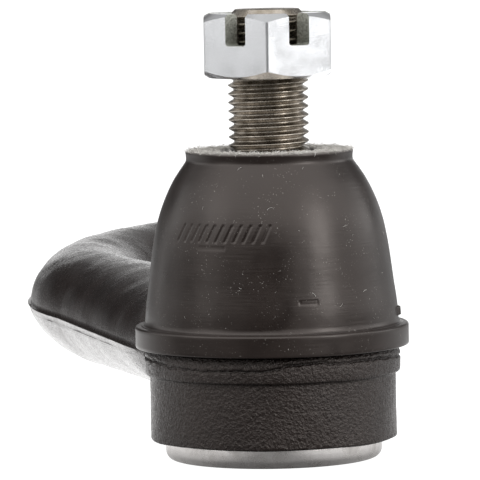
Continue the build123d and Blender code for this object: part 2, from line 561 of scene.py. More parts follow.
@dataclass(frozen=True)
class ZincPlate:
    """Bright zinc over turned flats, grey and rough in the milled slots."""

    bright: Colour = (0.96, 0.97, 0.99)
    dull: Colour = (0.66, 0.68, 0.70)
    milled: Colour = (0.66, 0.67, 0.62)
    burr: Colour = (0.26, 0.27, 0.24)

    def make(self) -> Material:
        """Build the material, which reads the paint named milled."""
        graph = NodeGraph("zinc_plate")
        place = graph.place()
        specks = graph.noise(place, 0.45, 3.0)
        cloud = graph.noise(place, 4.0, 3.0)
        scratches = graph.noise(graph.place((1.0, 1.0, 6.0)), 0.5, 3.0)
        rough = graph.painted("milled")
        colour = graph.blend(graph.spread(specks, 0.60, 0.78, 0.0, 0.5), self.bright, self.dull)
        patches = graph.spread(graph.noise(place, 0.3, 2.0), 0.35, 0.65)
        mottle = graph.blend(patches, self.burr, self.milled)
        colour = graph.blend(rough, colour, mottle)
        gloss = graph.spread(cloud, 0.3, 0.7, 0.17, 0.27)
        gloss = graph.maths("ADD", gloss, graph.maths("MULTIPLY", rough, 0.35))
        fine = graph.noise(place, 0.22, 3.0)
        deep = graph.maths("MULTIPLY", fine, rough)
        normal = graph.relief(scratches, 0.004)
        normal = graph.relief(deep, 0.12, normal)
        graph.surface(Base_Color=colour, Metallic=1.0, Roughness=gloss, Normal=normal)
        return graph.material


@dataclass(frozen=True)
class BootRubber:
    """Moulded chloroprene: dark brown-black, half gloss, dusty on its rim."""

    dark: Colour = (0.0066, 0.0036, 0.0028)
    light: Colour = (0.0112, 0.0070, 0.0057)
    dust: Colour = (0.42, 0.40, 0.37)
    speck_share: float = 0.70

    def make(self) -> Material:
        """Build the material, which reads the paint named dust."""
        graph = NodeGraph("boot_rubber")
        place = graph.place()
        cloud = graph.noise(place, 7.0, 4.0, 0.4)
        specks = graph.noise(place, 0.26, 1.0)
        bands = graph.noise(graph.place((0.06, 0.06, 1.0)), 0.42, 3.0)
        scuffed = graph.spread(graph.noise(place, 6.0, 1.0), 0.45, 0.65, 0.25, 1.0)
        bands = graph.maths("MULTIPLY", bands, scuffed)
        fine = graph.noise(place, 0.16, 2.0)
        colour = graph.blend(graph.spread(cloud, 0.35, 0.65), self.dark, self.light)
        dotted = graph.spread(specks, self.speck_share, self.speck_share + 0.05, 0.0, 0.55)
        patch = graph.spread(graph.noise(place, 5.0, 2.0), 0.45, 0.62)
        dusty = graph.maths("MULTIPLY", dotted, patch)
        felt = graph.maths("MULTIPLY", graph.painted("dust"), graph.spread(fine, 0.35, 0.62))
        dusty = graph.maths("MAXIMUM", dusty, felt)
        colour = graph.blend(dusty, colour, self.dust)
        gloss = graph.spread(cloud, 0.3, 0.7, 0.27, 0.38)
        gloss = graph.maths("ADD", gloss, graph.maths("MULTIPLY", dusty, 0.4))
        normal = graph.relief(bands, 0.030)
        normal = graph.relief(fine, 0.006, normal)
        graph.surface(Base_Color=colour, Roughness=gloss, Normal=normal)
        graph.surface(Specular_Tint=WARM)
        return graph.material


@dataclass(frozen=True)
class SeatPolymer:
    """Off-white acetal with a faint mould grain."""

    colour: Colour = (0.72, 0.69, 0.60)

    def make(self) -> Material:
        """Build the material."""
        graph = NodeGraph("seat_polymer")
        place = graph.place()
        cloud = graph.noise(place, 5.0, 3.0)
        colour = graph.blend(graph.spread(cloud, 0.3, 0.7), self.colour, (0.62, 0.58, 0.48))
        graph.surface(Base_Color=colour, Roughness=graph.spread(cloud, 0.3, 0.7, 0.38, 0.5))
        graph.surface(Normal=graph.relief(graph.noise(place, 0.3), 0.01))
        return graph.material


@dataclass(frozen=True)
class Lint:
    """Pale cotton fibres and dust."""

    colour: Colour = (0.85, 0.83, 0.79)

    def make(self) -> Material:
        """Build the material."""
        graph = NodeGraph("lint")
        cloud = graph.noise(graph.place(), 1.5, 2.0)
        colour = graph.blend(graph.spread(cloud, 0.3, 0.7), self.colour, (0.35, 0.33, 0.30))
        graph.surface(Base_Color=colour, Roughness=0.9)
        return graph.material


# ------------------------------------------------------------- geometry nodes


class FieldTree(TreeBuilder):
    """Builds a Geometry Nodes tree with named inputs."""

    def __init__(self, name: str) -> None:
        """Make an empty tree with its group input node.

        Args:
            name: Name of the tree.
        """
        self.tree = bpy.data.node_groups.new(name, "GeometryNodeTree")
        self.given = self.tree.nodes.new("NodeGroupInput")
        self.identifiers: dict[str, str] = {}

    def ask(self, name: str, kind: str) -> Socket:
        """Add a named input.

        Args:
            name: Name of the input.
            kind: Socket type without its prefix, such as Float.

        Returns:
            The socket inside the tree.
        """
        item = self.tree.interface.new_socket(name=name, in_out="INPUT", socket_type="NodeSocket" + kind)
        self.identifiers[name] = item.identifier
        return next(s for s in self.given.outputs if s.identifier == item.identifier)

    def end(self, geometry: Socket, material: Socket) -> None:
        """Close the tree with Realize Instances and Set Material."""
        self.tree.interface.new_socket(name="Geometry", in_out="OUTPUT", socket_type="NodeSocketGeometry")
        output = self.tree.nodes.new("NodeGroupOutput")
        real = self.put("GeometryNodeRealizeInstances", {0: geometry})
        dressed = self.put("GeometryNodeSetMaterial", {"Geometry": real.outputs[0], "Material": material})
        self.tree.links.new(dressed.outputs[0], output.inputs[0])

    def apply(self, obj: Piece, values: dict[str, object]) -> Piece:
        """Run the tree on an object and keep its plain mesh.

        Args:
            obj: Object that carries the modifier.
            values: Input name to value.

        Returns:
            The object made by the tree.
        """
        modifier = obj.modifiers.new("tree", "NODES")
        modifier.node_group = self.tree
        for name, value in values.items():
            modifier[self.identifiers[name]] = value
        return evaluated(obj)


class ThreadTree(FieldTree):
    """Helical thread as a closed bar: a grid rolled up and cut by a rule."""

    def __init__(self) -> None:
        """Build the tree."""
        super().__init__("screw_thread")
        segments, rows = (self.ask(name, "Int") for name in ("Segments", "Rows"))
        sizes = ("Major Radius", "Depth", "Pitch", "Bottom", "Length", "Chamfer", "Phase", "Runout")
        given = [self.ask(name, "Float") for name in sizes]
        major, depth, pitch, bottom, length, chamfer, lead, runout = given
        material = self.ask("Material", "Material")
        grid = self.put("GeometryNodeMeshGrid", {0: 1.0, 1: 1.0, 2: segments, 3: rows})
        split = self.put("ShaderNodeSeparateXYZ", {0: self.put("GeometryNodeInputPosition", {}).outputs[0]})
        around = self.maths("ADD", split.outputs[0], 0.5)
        along = self.maths("ADD", split.outputs[1], 0.5)
        risen = self.maths("MULTIPLY", along, length)
        height = self.maths("ADD", risen, bottom)
        turns = self.maths("SUBTRACT", self.maths("DIVIDE", height, pitch), around)
        phase = self.maths("FRACT", self.maths("SUBTRACT", turns, lead))
        ramp = self.maths("ABSOLUTE", self.maths("SUBTRACT", self.maths("MULTIPLY", phase, 2.0), 1.0))
        crest = self.maths("DIVIDE", self.maths("SUBTRACT", ramp, 0.16), 0.70, clamp=True)
        fade = self.maths("DIVIDE", risen, runout, clamp=True)
        crest = self.maths("MULTIPLY", crest, fade)
        cut = self.maths("MULTIPLY", self.maths("SUBTRACT", 1.0, crest), depth)
        radius = self.maths("SUBTRACT", major, cut)
        left = self.maths("SUBTRACT", length, risen)
        cone = self.maths("ADD", self.maths("SUBTRACT", major, chamfer), left)
        radius = self.maths("MINIMUM", radius, cone)
        middle = self.maths("ABSOLUTE", split.outputs[1])
        radius = self.maths("MULTIPLY", radius, self.maths("LESS_THAN", middle, 0.49999))
        angle = self.maths("MULTIPLY", around, math.tau)
        x = self.maths("MULTIPLY", radius, self.maths("SINE", angle))
        y = self.maths("MULTIPLY", radius, self.maths("MULTIPLY", self.maths("COSINE", angle), -1.0))
        place = self.put("ShaderNodeCombineXYZ", {0: x, 1: y, 2: height}).outputs[0]
        rolled = self.put("GeometryNodeSetPosition", {"Geometry": grid.outputs[0], "Position": place})
        named = self.put(
            "GeometryNodeStoreNamedAttribute",
            {"Geometry": rolled.outputs[0], "Name": "crest", "Value": crest},
            data_type="FLOAT",
            domain="POINT",
        )
        closed = self.put("GeometryNodeMergeByDistance", {"Geometry": named.outputs[0], "Distance": 1e-7})
        self.end(closed.outputs[0], material)


@dataclass(frozen=True)
class Thread:
    """Sizes of one metric thread, in millimetres."""

    major_radius: float
    pitch: float
    bottom: float
    top: float
    chamfer: float = 0.0
    phase: float = 0.0
    runout: float = 0.6
    segments: int = 112
    rows_per_pitch: int = 18

    def bar(self, name: str, tree: ThreadTree, material: Material) -> Piece:
        """Make the thread as a closed bar on the stud's axis.

        Args:
            name: Name of the object.
            tree: The thread's Geometry Nodes tree.
            material: Its material.

        Returns:
            The bar.
        """
        length = self.top - self.bottom
        made = tree.apply(
            new_object(name, bpy.data.meshes.new(name)),
            {
                "Segments": self.segments + 1,
                "Rows": round(length / self.pitch * self.rows_per_pitch) + 1,
                "Major Radius": self.major_radius * MM,
                "Depth": 0.6134 * self.pitch * MM,
                "Pitch": self.pitch * MM,
                "Bottom": self.bottom * MM,
                "Length": length * MM,
                "Chamfer": self.chamfer * MM,
                "Phase": self.phase,
                "Runout": self.runout * MM,
                "Material": material,
            },
        )
        tidy_mesh(made.data)
        return made


# ------------------------------------------------------------------ the pieces


@dataclass
class Forging:
    """Housing, collar, bowed arm and shank, with the bare lip and shank thread."""

    arm_lean: float = 20.5
    arm_straight: float = 83.0
    bow_radius: float = 103.0
    return_angle: float = 38.0
    root_half_width: float = 20.2
    half_width: float = 12.15
    half_height: float = 11.75
    under_share: float = 0.80
    land_half_height: float = 0.70
    land_proud: float = 0.45
    parting: float = 17.4
    shank_radius: float = 13.35
    shank_swell: float = 6.5
    shank_end: float = 258.0
    shank_bore: float = 9.35
    cavity_radius: float = 15.3
    seam_depth: float = 0.60
    seam_width: float = 0.24
    boot_seat: float = 19.48
    boot_reach: float = 25.6
    neck_reach: float = 20.9
    junction_passes: int = 14
    pieces: list[Piece] = field(default_factory=list)

    def centreline(self, step: float) -> tuple[np.ndarray, np.ndarray]:
        """Arm's centreline in plan.

        Args:
            step: Distance between its points.

        Returns:
            Points (x, y), and the heading at each, in radians left of +Y.
        """
        lean, back = math.radians(self.arm_lean), math.radians(self.return_angle)
        start = self.arm_straight * np.array([-math.sin(lean), math.cos(lean)])
        centre = start + self.bow_radius * np.array([math.cos(lean), math.sin(lean)])
        turn_x = centre[0] - self.bow_radius * math.cos(back)
        turn_y = centre[1] + self.bow_radius * math.sin(back)
        settle = -turn_x / (1 - math.cos(back))
        shank_y = turn_y + settle * math.sin(back)
        rows, headings = [], []
        for s in np.arange(0, self.arm_straight, step):
            rows.append(start * s / self.arm_straight)
            headings.append(lean)
        for h in np.arange(lean, -back, -step / self.bow_radius):
            rows.append(centre - self.bow_radius * np.array([math.cos(h), math.sin(h)]))
            headings.append(h)
        for h in np.arange(-back, 0, step / settle):
            rows.append(np.array([-settle * (1 - math.cos(h)), shank_y + settle * math.sin(h)]))
            headings.append(h)
        for y in np.linspace(shank_y, self.shank_end, round((self.shank_end - shank_y) / step)):
            rows.append(np.array([0.0, y]))
            headings.append(0.0)
        return np.array(rows), np.array(headings)

    def section(self, half_width: float, half_height: float, proud: float, under: float) -> np.ndarray:
        """Oval bar section with its trimmed land and flatter underside, as (across, up) points."""
        land = self.land_half_height
        edge = math.asin(land / half_height)
        quarter = np.linspace(edge, math.pi - edge, 40)
        upper = np.stack([half_width * np.cos(quarter), half_height * np.sin(quarter)], axis=1)
        outer = half_width + proud
        inward = [0.46, 0.43, 0.22, 0, 0]
        level = [-1, -0.8, 0, 0.8, 1]
        right = np.array([[outer - back, land * up] for back, up in zip(inward, level)])
        left = right * np.array([-1, 1])
        lower = -upper
        depth = upper[:, 1] - land
        lower[:, 0] *= 1 - 0.9 * (1 - under) * depth / (half_height - land)
        lower[:, 1] = -land - depth * under
        return np.concatenate([right, upper, left[::-1], lower])

    def arm(self) -> Piece:
        """Swept arm with its wide root and its round shank."""
        line, headings = self.centreline(0.9)
        reach = np.concatenate([[0], np.cumsum(np.linalg.norm(np.diff(line, axis=0), axis=1))])
        last = line[-1][1]
        points = []
        for place, heading, along in zip(line, headings, reach):
            share = min(1.0, along / self.arm_straight)
            wide = self.root_half_width + (self.half_width - self.root_half_width) * share
            past = np.clip((place[1] - (last - 42 - self.shank_swell)) / self.shank_swell, 0, 1)
            past = past * past * (3 - 2 * past) if heading == 0 else 0
            wide = wide + (self.shank_radius - wide) * past
            tall = self.half_height + (self.shank_radius - self.half_height) * past
            trim = min(1.0, (last - place[1]) / 1.5)
            shrink = 1 - (1 - trim) * 1.4 / self.shank_radius
            under = self.under_share + (1 - self.under_share) * past
            ring = self.section(wide * shrink, tall * shrink, self.land_proud * (1 - past), under)
            across = np.array([math.cos(heading), math.sin(heading), 0.0])
            base = np.array([place[0], place[1], self.parting])
            points.append(base + ring[:, :1] * across + ring[:, 1:] * np.array([0, 0, 1.0]))
        faces = swept_faces(len(points), len(points[0]))
        return mesh_from("forging_arm", np.concatenate(points), faces)

    def housing(self) -> Piece:
        """Round housing without its bore."""
        wall = spaced([*arc((21.15, 3.9), 0.5, -80, 0, 4), (21.65, 14.5)], 0.45)
        collar = [(21.65, 14.5), (21.70, 14.8), (22.20, 15.05), (22.4, 15.6)]
        collar += [(22.45, 17.4), (22.3, 18.6), (21.95, 19.45)]
        neck = [(20.3, 19.5), (20.3, 22.8), (18.6, 24.4), (16.2, 28.0), (0, 28.0), (0, 3.4)]
        outline = [(19.6, 3.4), *wall, *smooth_through(collar, 0.15), *neck]
        return lathe("forging", outline, dense_angles(-110, 110, 0.5, 1.6))

    def bore_tool(self) -> Piece:
        """Ball cavity, plate recess and mouth, as a solid to cut away."""
        ball = self.parting
        mouth_angle = math.degrees(math.acos((27.5 - ball) / self.cavity_radius))
        dome = arc((0, ball), self.cavity_radius, 0, 90 - mouth_angle, 16)
        outline = [(0, 2.0), (16.6, 2.0), (16.6, 3.42), (self.cavity_radius, 3.42)]
        outline += [*dome, (dome[-1][0] + 2.2, dome[-1][1] + 2.2), (0, dome[-1][1] + 2.2)]
        return lathe("bore_tool", outline, even_angles(120))

    def seam_height(self, angle: np.ndarray) -> np.ndarray:
        """Height of the folded flash seam round the collar, by angle."""
        knots = [-180, -120, -66, -53, -34, -10, -2, 7, 22, 31, 55, 80, 120, 180]
        heights = [17.6, 17.9, 18.2, 17.4, 17.2, 17.2, 17.4, 18.2, 18.6, 18.2, 18.4, 17.9, 17.4, 17.6]
        return np.interp(angle, knots, heights)

    def roughen(self, body: Piece) -> None:
        """Move the surface in and out: forging skin, folds and the open seam; paint the seam for its painted
        shade.
        """
        points = points_of(body)
        normals = normals_of(body)
        flat = np.hypot(points[:, 0], points[:, 1])
        angle = np.degrees(np.arctan2(points[:, 0], -points[:, 1]))
        inside = (flat < 19.5) & (points[:, 1] < 17) | (points[:, 2] > 19.45) & (flat < 21.5)
        outside = ~inside
        skin = 0.035 * grain(points, 1.1) + 0.03 * grain(points, 0.55, 3.0)
        swell = 0.14 * grain(points, 8.0, 7.0) - 0.12
        near_front = (flat < 23.5) & (points[:, 2] > 14.6) & (points[:, 2] < 19.6)
        jitter = 0.30 * grain(points * np.array([1, 1, 0.0]), 1.4, 11.0)
        jitter = jitter + 0.12 * grain(points * np.array([1, 1, 0.0]), 0.6, 13.0)
        line = self.seam_height(angle) + jitter
        off = points[:, 2] - line
        crack_and_shade = np.exp(-((off / self.seam_width) ** 2)) * near_front
        crack_and_shade = crack_and_shade * (0.65 + 0.35 * grain(points * np.array([1, 1, 0.2]), 5.0, 17.0))
        overlap = np.exp(-(((off - 0.45) / 0.5) ** 2)) * near_front
        move = (skin + swell - self.seam_depth * crack_and_shade + 0.10 * overlap) * outside
        far = points[:, 1] > 30
        fold = np.clip(grain(points * np.array([0.5, 0.35, 1.4]), 3.2, 23.0), -1, 0.3) * 0.12
        move = move + fold * far * (np.abs(points[:, 2] - self.parting) > 1.6)
        shank = points[:, 1] > self.shank_end - 2
        move = np.where(shank, 0, move)
        moved = points + normals * move[:, None]
        under_boot = (np.hypot(moved[:, 0], moved[:, 1]) < self.boot_reach) & (flat > self.neck_reach)
        moved[:, 2] = np.where(under_boot, np.minimum(moved[:, 2], self.boot_seat), moved[:, 2])
        set_points(body, moved)
        # mask of the painted shade in the open seam, read by the coat
        paint(body, "seam", np.clip(crack_and_shade * 1.3 - 0.25, 0, 1))

    def build(self, tree: ThreadTree, coat: Material, bare: Material) -> None:
        """Make the forging, its lip and its shank thread.

        Args:
            tree: Thread tree, for the shank's thread.
            coat: Material of the coated skin.
            bare: Material of what is turned bare.
        """
        arm = self.arm()
        rise = self.parting + self.half_height + 3
        cone = lathe("cone", [(0, 19.5), (25.3, 19.5), (40.0, rise), (0, rise)], even_angles(120))
        arm = combine(arm, cone, Combine.CUT)
        body = combine(self.housing(), arm, Combine.JOIN)
        body = combine(body, self.bore_tool(), Combine.CUT)
        bore = [(0, -1), (self.shank_bore, -1), (self.shank_bore, 50), (0, 54)]
        hole = lathe("hole", bore, even_angles(96))
        hole.data.transform(self.shank_frame())
        body = combine(body, hole, Combine.CUT)
        self.soften_junction(body)
        self.roughen(body)
        coat_all(body, coat)
        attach(body, Body.HOUSING.value)
        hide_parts("forged_housing")
        self.pieces = [body, self.lip(bare), self.shank_thread(tree, bare)]

    def shank_frame(self) -> Matrix:
        """Puts the end of the shank's bore at the origin's place, with +Z running into it."""
        start = Matrix.Translation((0, self.shank_end * MM, self.parting * MM))
        return start @ Matrix.Rotation(math.pi / 2, 4, "X")

    def soften_junction(self, body: Piece) -> None:
        """Round the line where the arm leaves the housing."""
        work = bmesh.new()
        work.from_mesh(body.data)
        axes = {"use_axis_" + axis: True for axis in "xyz"}
        chosen = []
        for vert in work.verts:
            place = vert.co / MM
            reach = math.hypot(place.x, place.y)
            if place.y > 2 and 21.0 < reach < 27.0 and 3.6 < place.z < 19.0:
                chosen.append(vert)
        for _ in range(self.junction_passes):
            bmesh.ops.smooth_vert(work, verts=chosen, factor=0.5, **axes)
        work.to_mesh(body.data)
        work.free()

    def lip(self, bare: Material) -> Piece:
        """Turned lip that is rolled over the closing plate."""
        knots = [(18.95, 3.42), (18.93, 2.2), (18.80, 1.1), (18.35, 0.4), (17.7, 0.08), (16.6, 0.0)]
        outer = smooth_through(knots, 0.25)
        inner = [(13.5, 0.0), *arc((13.3, 0.5), 0.5, -90, -180, 4)]
        inner += [(12.8, 1.38), (16.58, 1.38), (16.58, 3.42)]
        made = lathe("rolled_lip", [*outer, *inner], even_angles(256))
        made.data.materials.append(bare)
        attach(made, Body.HOUSING.value)
        return made

    def shank_thread(self, tree: ThreadTree, bare: Material) -> Piece:
        """Female thread of the shank, as the wall of its bore."""
        depth = 49.0
        thread = Thread(9.0, 1.5, -2.0, depth, segments=72, rows_per_pitch=10)
        wall = [(0, 0.4), (self.shank_bore + 0.04, 0.4), (self.shank_bore + 0.04, depth - 1), (0, depth - 1)]
        sleeve = lathe("shank_thread", wall, even_angles(72))
        sleeve = combine(sleeve, thread.bar("tap", tree, bare), Combine.CUT)
        entry = lathe("entry", [(0, 0), (9.6, 0), (9.3, 0.4), (8.2, 1.5), (0, 1.5)], even_angles(72))
        sleeve = combine(sleeve, entry, Combine.CUT)
        sleeve.data.transform(self.shank_frame())
        coat_all(sleeve, bare)
        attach(sleeve, Body.HOUSING.value)
        return sleeve


@dataclass
class DustBoot:
    """Rubber boot with its foot band, dome, rim and moulded marks."""

    foot: float = 19.7
    band_radius: float = 23.9
    band_top: float = 23.5
    rim_radius: float = 14.65
    rim_top: float = 53.9
    hole: float = 8.5
    wall: float = 2.0
    fibre_radius: float = 0.033
    dust_share: float = 0.55
    blend_low: float = 25.0
    blend_high: float = 49.0
    pieces: list[Piece] = field(default_factory=list)

    def dome(self) -> Outline:
        """Outside of the dome, from its foot to under the rim."""
        return [
            (22.15, 24.3),
            (21.95, 27.0),
            (21.40, 31.0),
            (20.90, 35.0),
            (20.35, 38.6),
            (19.60, 42.0),
            (18.50, 45.2),
            (17.00, 48.4),
            (15.75, 50.4),
            (14.85, 51.7),
        ]

    def outline(self) -> Outline:
        """Closed outline of the whole boot."""
        top = self.rim_top
        band = [(21.42, self.foot), *arc((self.band_radius - 0.3, self.foot + 0.3), 0.3, -90, 0, 3)]
        band += arc((self.band_radius - 0.45, self.band_top - 0.45), 0.45, 0, 90, 5)
        band += [(22.7, self.band_top + 0.02)]
        band += arc((22.75, self.band_top + 0.52), 0.5, 270, 190, 4)
        dome = smooth_through(self.dome(), 0.42)
        rim = [(14.62, 52.05), (14.55, 52.4), (14.56, 52.9), (14.62, 53.4), (self.rim_radius, 53.65)]
        rim += [(14.5, top - 0.06), (14.2, top), (11.5, top - 0.10)]
        rim += [(9.2, top - 0.12), (8.7, top - 0.3), (self.hole, top - 0.7)]
        lip = [(self.hole, 51.45), (11.25, 51.45), (11.25, 48.95), (self.hole, 48.95)]
        lip += [(self.hole, 47.2), (9.0, 46.7), (10.6, 46.2)]
        inner = [(r - self.wall, z) for r, z in reversed(self.dome()[:7])]
        inner += [(20.15, 23.3), (21.42, 23.2)]
        return [*spaced([*band, *dome, *rim, lip[0]], 0.40), *spaced([*lip, *inner, band[0]], 1.2)]

    def stamp(self, points: np.ndarray) -> np.ndarray:
        """Depth of the moulded marks at each point of the outside.

        Args:
            points: Points in millimetres.

        Returns:
            How far each point goes in, in millimetres.
        """
        angle = np.degrees(np.arctan2(points[:, 0], -points[:, 1]))
        height = points[:, 2]
        flat = np.hypot(points[:, 0], points[:, 1])
        outside = flat > np.interp(height, [24, 38, 51], [20.9, 19.3, 13.4])

        def pad(middle: float, level: float, wide: float, tall: float) -> np.ndarray:
            """Soft-edged rectangle, in degrees across and millimetres up."""
            side = np.clip((wide / 2 - np.abs(angle - middle)) / 0.35 + 0.5, 0, 1)
            ends = np.clip((tall / 2 - np.abs(height - level)) / 0.12 + 0.5, 0, 1)
            return side * ends

        mark = np.zeros(len(points))
        for middle in np.linspace(-50, -2, 11):
            mark = np.maximum(mark, pad(middle + 1.3 * (height - 40.6), 40.6, 1.4, 3.0))
        mark = np.maximum(mark, pad(-30, 38.3, 15.0, 0.30))
        vent = pad(17.0, 28.9, 9.0, 0.75) - pad(17.3, 28.95, 7.8, 0.30)
        nub = pad(84.0, 25.6, 3.5, 1.6)
        return (0.10 * mark + 0.10 * vent - 0.55 * nub) * outside

    def build(self, rubber: Material, lint: Material) -> None:
        """Make the boot and the lint on it.

        Args:
            rubber: Material of the boot.
            lint: Material of the fibres.
        """
        boot = lathe("rubber_boot", self.outline(), dense_angles(-58, 30, 0.42, 1.5))
        points = points_of(boot)
        normals = normals_of(boot)
        uneven = 0.05 * grain(points, 9.0, 5.0) + 0.012 * grain(points, 1.8, 9.0)
        uneven = np.where((points[:, 2] > 24.5) & (points[:, 2] < 51), uneven, 0) - 0.02
        set_points(boot, points + normals * (uneven - self.stamp(points))[:, None])
        flat = np.hypot(points[:, 0], points[:, 1])
        paint(boot, "dust", np.clip((points[:, 2] - 53.5) / 0.3, 0, 1) * (flat < 14.6) * self.dust_share)
        boot.data.materials.append(rubber)
        self.bend(boot)
        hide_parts("dust_boot")
        self.pieces = [boot, self.rim_fuzz(lint), self.scattered_lint(lint)]

    def bend(self, piece: Piece) -> None:
        """Bake a piece's placement into its mesh."""
        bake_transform(piece)

    def fibres(
        self, name: str, host: Piece, density: float, seed: int, length: float, lint: Material
    ) -> Piece:
        """Scatter bent fibres over a host surface.

        Args:
            name: Name of the piece.
            host: Surface, which is used up.
            density: Fibres a square metre.
            seed: Seed of the scatter.
            length: Longest fibre, in millimetres.
            lint: Material.

        Returns:
            The fibres as one mesh.
        """
        tree = FieldTree(name + "_tree")
        surface = tree.ask("Surface", "Geometry")
        thick = tree.ask("Fibre Radius", "Float")
        long = tree.ask("Fibre Length", "Float")
        count = tree.ask("Density", "Float")
        start = tree.ask("Seed", "Int")
        material = tree.ask("Material", "Material")
        spots = tree.put(
            "GeometryNodeDistributePointsOnFaces",
            {"Mesh": surface, "Density": count, "Seed": start},
        )
        half = tree.maths("MULTIPLY", long, 0.5)
        bow = tree.maths("MULTIPLY", long, 0.28)
        first = tree.put("ShaderNodeCombineXYZ", {0: tree.maths("MULTIPLY", half, -1.0)}).outputs[0]
        last = tree.put("ShaderNodeCombineXYZ", {0: half}).outputs[0]
        crook = tree.put("ShaderNodeCombineXYZ", {1: bow, 2: tree.maths("MULTIPLY", bow, 0.5)}).outputs[0]
        line = tree.put(
            "GeometryNodeCurveQuadraticBezier",
            {"Resolution": 5, "Start": first, "Middle": crook, "End": last},
        )
        profile = tree.put("GeometryNodeCurvePrimitiveCircle", {"Resolution": 3, "Radius": thick})
        strand = tree.put(
            "GeometryNodeCurveToMesh",
            {"Curve": line.outputs[0], "Profile Curve": profile.outputs[0], "Fill Caps": True},
        )
        spin = tree.put(
            "FunctionNodeRandomValue",
            {0: (-0.5, -0.5, 0.0), 1: (0.5, 0.5, math.tau), "Seed": start},
            data_type="FLOAT_VECTOR",
        )
        euler = tree.put("FunctionNodeEulerToRotation", {0: spin.outputs[0]})
        turned = tree.put(
            "FunctionNodeRotateRotation",
            {0: spots.outputs["Rotation"], 1: euler.outputs[0]},
            rotation_space="LOCAL",
        )
        size = tree.put("FunctionNodeRandomValue", {2: 0.25, 3: 1.0, "Seed": start}, data_type="FLOAT")
        placed = tree.put(
            "GeometryNodeInstanceOnPoints",
            {
                "Points": spots.outputs["Points"],
                "Instance": strand.outputs[0],
                "Rotation": turned.outputs[0],
                "Scale": size.outputs[1],
            },
        )
        tree.end(placed.outputs[0], material)
        values = {
            "Fibre Radius": self.fibre_radius * MM,
            "Fibre Length": length * MM,
            "Density": density,
            "Seed": seed,
            "Material": lint,
        }
        host.name = name
        return tree.apply(host, values)

    def rim_fuzz(self, lint: Material) -> Piece:
        """Fibres that cling to the rim's cut top face."""
        host = lathe("rim_face", [(8.8, 53.84), (14.6, 53.98), (14.6, 53.94), (8.8, 53.80)], even_angles(72))
        fuzz = self.fibres("rim_fuzz", host, 3.5e6, 4, 1.5, lint)
        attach(fuzz, Body.RIM.value)
        return fuzz

    def scattered_lint(self, lint: Material) -> Piece:
        """A few loose fibres on the dome."""
        dome = [(r + 0.02, z) for r, z in self.dome()]
        back = [(r - 0.03, z) for r, z in reversed(self.dome())]
        host = lathe("dome_face", [*dome, *back], even_angles(72))
        loose = self.fibres("dome_lint", host, 9.0e3, 11, 1.1, lint)
        self.bend(loose)
        return loose


@dataclass
class BallStud:
    """Ball, neck, taper and thread."""

    ball_height: float = 17.4
    ball_radius: float = 12.5
    flat_depth: float = 9.5
    neck_radius: float = 6.5
    taper_low: float = 35.0
    taper_high: float = 50.4
    thread: Thread = Thread(
        6.98, 1.5, 50.9, 78.5, chamfer=1.5, phase=0.71, runout=1.2, segments=128, rows_per_pitch=20
    )
    pin_hole: float = 1.6
    pin_height: float = 74.9
    pieces: list[Piece] = field(default_factory=list)

    def build(self, tree: ThreadTree, ground: Material, rolled: Material) -> None:
        """Make the stud.

        Args:
            tree: Thread tree.
            ground: Material of the ball and taper.
            rolled: Material of the thread.
        """
        low = -math.degrees(math.asin(self.flat_depth / self.ball_radius))
        high = math.degrees(math.acos(self.neck_radius / self.ball_radius))
        ball = arc((0, self.ball_height), self.ball_radius, low, high, 48)
        flare = smooth_through([(self.neck_radius, 31.8), (6.9, 32.8), (8.2, 34.2), (8.75, 35.0)], 0.3)
        small = 8.75 - (self.taper_high - self.taper_low) / 16
        shaft = [(self.neck_radius, 29.0), *flare, (small, self.taper_high)]
        shaft += [(6.1, 50.7), (6.05, 51.2), (0, 51.2)]
        outline = [(0, self.ball_height - self.flat_depth), *ball, *shaft]
        shank = lathe("stud_ball_and_taper", outline, even_angles(160))
        shank.data.materials.append(ground)
        thread = self.thread.bar("stud_thread", tree, rolled)
        drill = [(0, -20), (self.pin_hole, -20), (self.pin_hole, 20), (0, 20)]
        hole = lathe("pin_hole", drill, even_angles(40))
        turn = Matrix.Translation((0, 0, self.pin_height * MM)) @ Matrix.Rotation(math.pi / 2, 4, "Y")
        hole.data.transform(turn)
        thread = combine(thread, hole, Combine.CUT)
        coat_all(thread, rolled)
        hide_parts("ball_stud")
        self.pieces = [shank, thread]
        for piece in self.pieces:
            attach(piece, Body.STUD.value)


